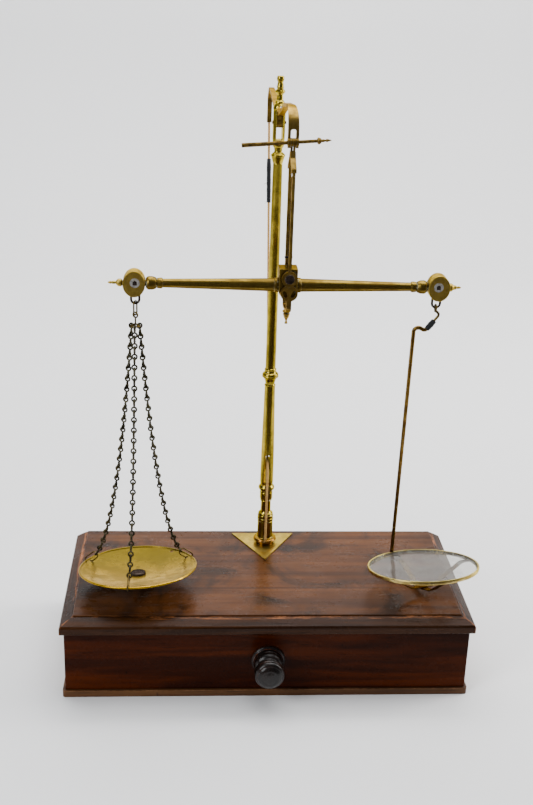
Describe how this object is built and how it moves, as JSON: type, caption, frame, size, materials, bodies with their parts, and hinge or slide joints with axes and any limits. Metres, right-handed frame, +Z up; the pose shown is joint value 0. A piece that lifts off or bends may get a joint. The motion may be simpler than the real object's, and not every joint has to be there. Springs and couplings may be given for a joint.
{
  "type": "beam scale",
  "caption": "Antique brass beam scale on a wooden drawer base: turned pillar with a cord-worked lift lever, chain-hung brass pan and rod-hung glass plate.",
  "frame": {"origin": "centre of the base's underside, on the surface it stands on", "axes": "+Z up along the pillar, +X to the right along the beam, -Y towards the user and the drawer's pull"},
  "size_m": [0.4376, 0.277, 0.612],
  "materials": {
    "field_wood": "old polish worn thin, satin gloss",
    "moulding_wood": "old polish, worn orange along the nose",
    "plinth_wood": "worn satin polish",
    "drawer_wood": "dark glossy polish",
    "inner_wood": "bare planed wood",
    "knob_wood": "ebonised, glossy",
    "pillar_brass": "polished, warm olive tarnish",
    "plate_brass": "worn, pale",
    "lever_brass": "brown tarnish",
    "beam_brass": "satin, brown-gold tarnish",
    "end_brass": "satin, finely scratched",
    "wire_brass": "dull drawn wire",
    "chain_brass": "grey-olive tarnish",
    "pan_brass": "satin, yellow-gold, olive at the edge",
    "rod_brass": "satin brown-gold",
    "rim_brass": "bright edge",
    "bush_steel": "bright, worn",
    "dark_steel": "browned steel",
    "cord": "twisted linen",
    "thread": "waxed black thread",
    "glass": "clear, faint wiping haze"
  },
  "bodies": {
    "base": {"top_board": "field_wood", "moulding_front": "moulding_wood", "moulding_left": "moulding_wood", "moulding_right": "moulding_wood", "bottom_board": "plinth_wood", "case_sides": "plinth_wood", "back_panel": "plinth_wood", "pillar_plate": "plate_brass", "pillar_stud": "plate_brass", "pillar_washer": "plate_brass", "pillar_nut": "plate_brass", "pillar_foot": "pillar_brass", "pillar_lower": "pillar_brass", "pillar_knop": "pillar_brass", "pillar_upper": "pillar_brass", "pillar_head": "pillar_brass", "pillar_finial": "pillar_brass", "lever_pivot_pin": "dark_steel", "cord_front": "cord", "cord_rear": "cord", "cord_whipping": "thread"},
    "drawer": {"drawer_front": "drawer_wood", "drawer_sides": "inner_wood", "drawer_back": "inner_wood", "drawer_bottom": "inner_wood", "drawer_knob": "knob_wood"},
    "lever": {"lift_lever": "lever_brass", "suspension_pin": "dark_steel"},
    "shears": {"shears_front": "lever_brass", "shears_rear": "lever_brass", "shears_bearings": "dark_steel", "drop_finial": "lever_brass"},
    "beam": {"beam_boss": "beam_brass", "knife_centre": "dark_steel", "pointer": "dark_steel", "beam_arm_left": "beam_brass", "beam_arm_right": "beam_brass", "box_end_left": "end_brass", "box_end_right": "end_brass", "end_knives": "dark_steel", "end_bushes": "bush_steel", "end_finials": "end_brass"},
    "left_ring": {"shackle_left": "dark_steel"},
    "left_pan": {"long_link": "wire_brass", "gathering_hook": "wire_brass", "chain_left": "chain_brass", "chain_right": "chain_brass", "chain_front": "chain_brass", "pan_hooks": "wire_brass", "brass_pan": "pan_brass", "pan_disc": "dark_steel"},
    "right_ring": {"shackle_right": "dark_steel"},
    "right_pan": {"hanger_hook": "wire_brass", "rod_binding": "thread", "hanger_rod": "rod_brass", "plate_rim": "rim_brass", "glass_plate": "glass", "bracket_lower": "rod_brass", "bracket_upper": "rod_brass", "bracket_rivet": "rod_brass"}
  },
  "joints": [
    {"name": "drawer_slide", "type": "slide", "parent": "base", "child": "drawer", "axis": [0, -1, 0], "range_m": [0, 0.12]},
    {"name": "lift_lever_tilt", "type": "hinge", "parent": "base", "child": "lever", "pos_m": [0.0036, 0.07, 0.567], "axis": [-0.9981, -0.0613, 0], "range_deg": [0, 12], "deforming": ["cord_rear", "cord_whipping"]},
    {"name": "shears_swing", "type": "hinge", "parent": "lever", "child": "shears", "pos_m": [0.0098, -0.031, 0.563], "axis": [0.9981, 0.0613, 0], "range_deg": [-14, 14]},
    {"name": "beam_tilt", "type": "hinge", "parent": "shears", "child": "beam", "pos_m": [0.0098, -0.031, 0.434], "axis": [0, 1, 0], "range_deg": [-1.3, 1.3]},
    {"name": "left_ring_swing", "type": "hinge", "parent": "beam", "child": "left_ring", "pos_m": [-0.1362, -0.031, 0.4312], "axis": [0, 1, 0], "range_deg": [-6, 6]},
    {"name": "left_pan_swing", "type": "hinge", "parent": "left_ring", "child": "left_pan", "pos_m": [-0.1362, -0.031, 0.40715], "axis": [1, 0, 0], "range_deg": [-6, 6]},
    {"name": "right_ring_swing", "type": "hinge", "parent": "beam", "child": "right_ring", "pos_m": [0.1558, -0.031, 0.4312], "axis": [0, 1, 0], "range_deg": [-6, 6]},
    {"name": "right_pan_swing", "type": "hinge", "parent": "right_ring", "child": "right_pan", "pos_m": [0.1558, -0.031, 0.40715], "axis": [1, 0, 0], "range_deg": [-6, 6]}
  ]
}
